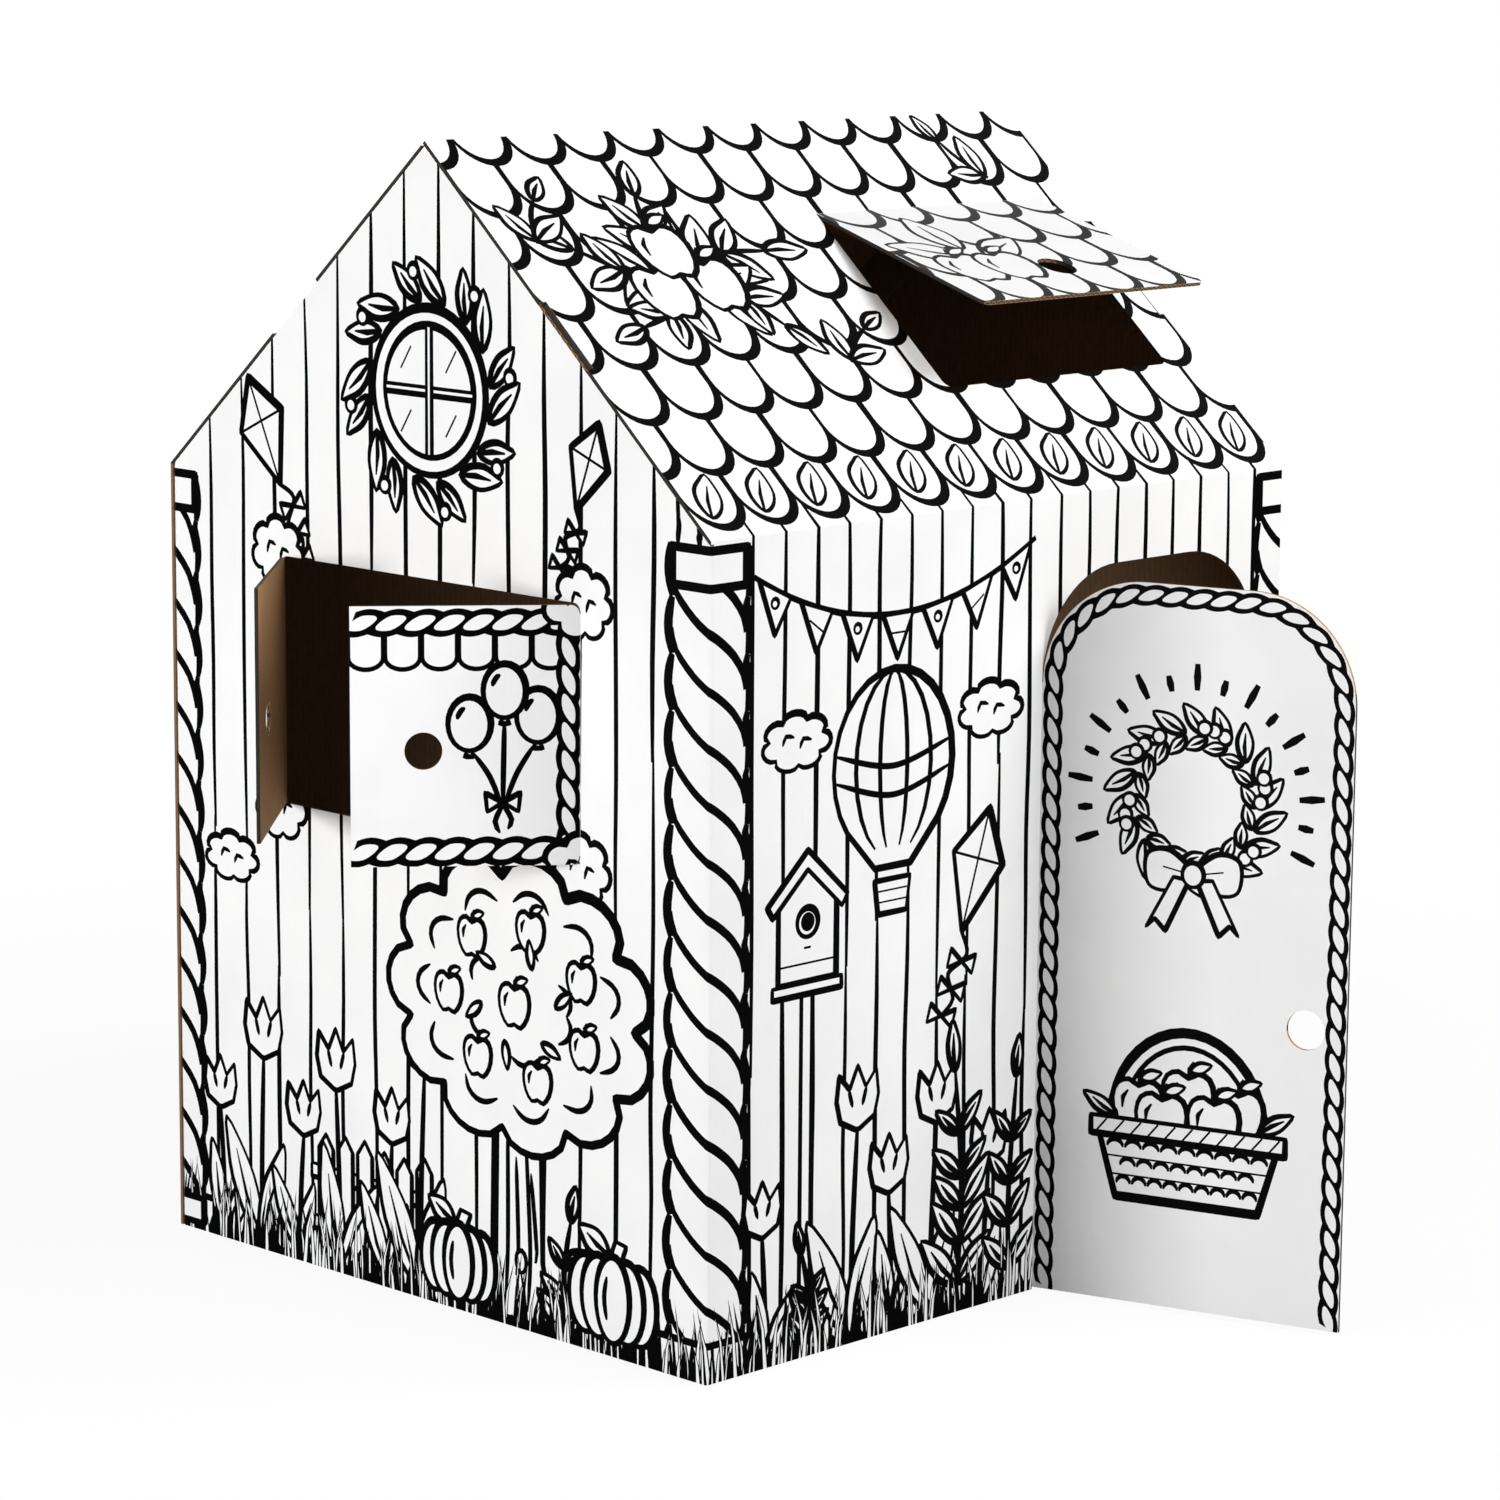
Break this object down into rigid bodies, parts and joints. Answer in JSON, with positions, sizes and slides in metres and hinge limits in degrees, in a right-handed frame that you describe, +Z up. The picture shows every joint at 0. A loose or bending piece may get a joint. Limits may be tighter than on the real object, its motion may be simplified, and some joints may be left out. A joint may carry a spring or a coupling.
{
  "type": "cardboard playhouse",
  "caption": "Gabled playhouse folded from corrugated board, with an arched door, window shutters and a skylight flap that swing on creases.",
  "frame": {"origin": "on the floor, at the middle of the door wall's foot, midway through the board", "axes": "+Z up, +X along the ridge away from the window gable, +Y from the door wall into the house"},
  "size_m": [1.0566, 1.1638, 1.22],
  "materials": {
    "printed_board": "white coated liner with black line print, kraft inside",
    "leaf_board": "white coated liner with black line print, kraft inside"
  },
  "bodies": {
    "house": {"front_sheet": "printed_board", "back_sheet": "printed_board"},
    "door": {"door": "leaf_board"},
    "left_shutter": {"left_shutter": "leaf_board"},
    "right_shutter": {"right_shutter": "leaf_board"},
    "skylight_flap": {"skylight_flap": "leaf_board"}
  },
  "joints": [
    {"name": "door_crease", "type": "hinge", "parent": "house", "child": "door", "pos_m": [0.05, -0.002, 0.33], "axis": [0, 0, -1], "range_deg": [-73, 97]},
    {"name": "left_shutter_crease", "type": "hinge", "parent": "house", "child": "left_shutter", "pos_m": [-0.44, 0.644, 0.6375], "axis": [0, 0, -1], "range_deg": [-47, 123]},
    {"name": "right_shutter_crease", "type": "hinge", "parent": "house", "child": "right_shutter", "pos_m": [-0.44, 0.182, 0.6375], "axis": [0, 0, 1], "range_deg": [-50, 120]},
    {"name": "skylight_crease", "type": "hinge", "parent": "house", "child": "skylight_flap", "pos_m": [0.2055, 0.31023, 1.12911], "axis": [-1, 0, 0], "range_deg": [-24, 141]}
  ]
}
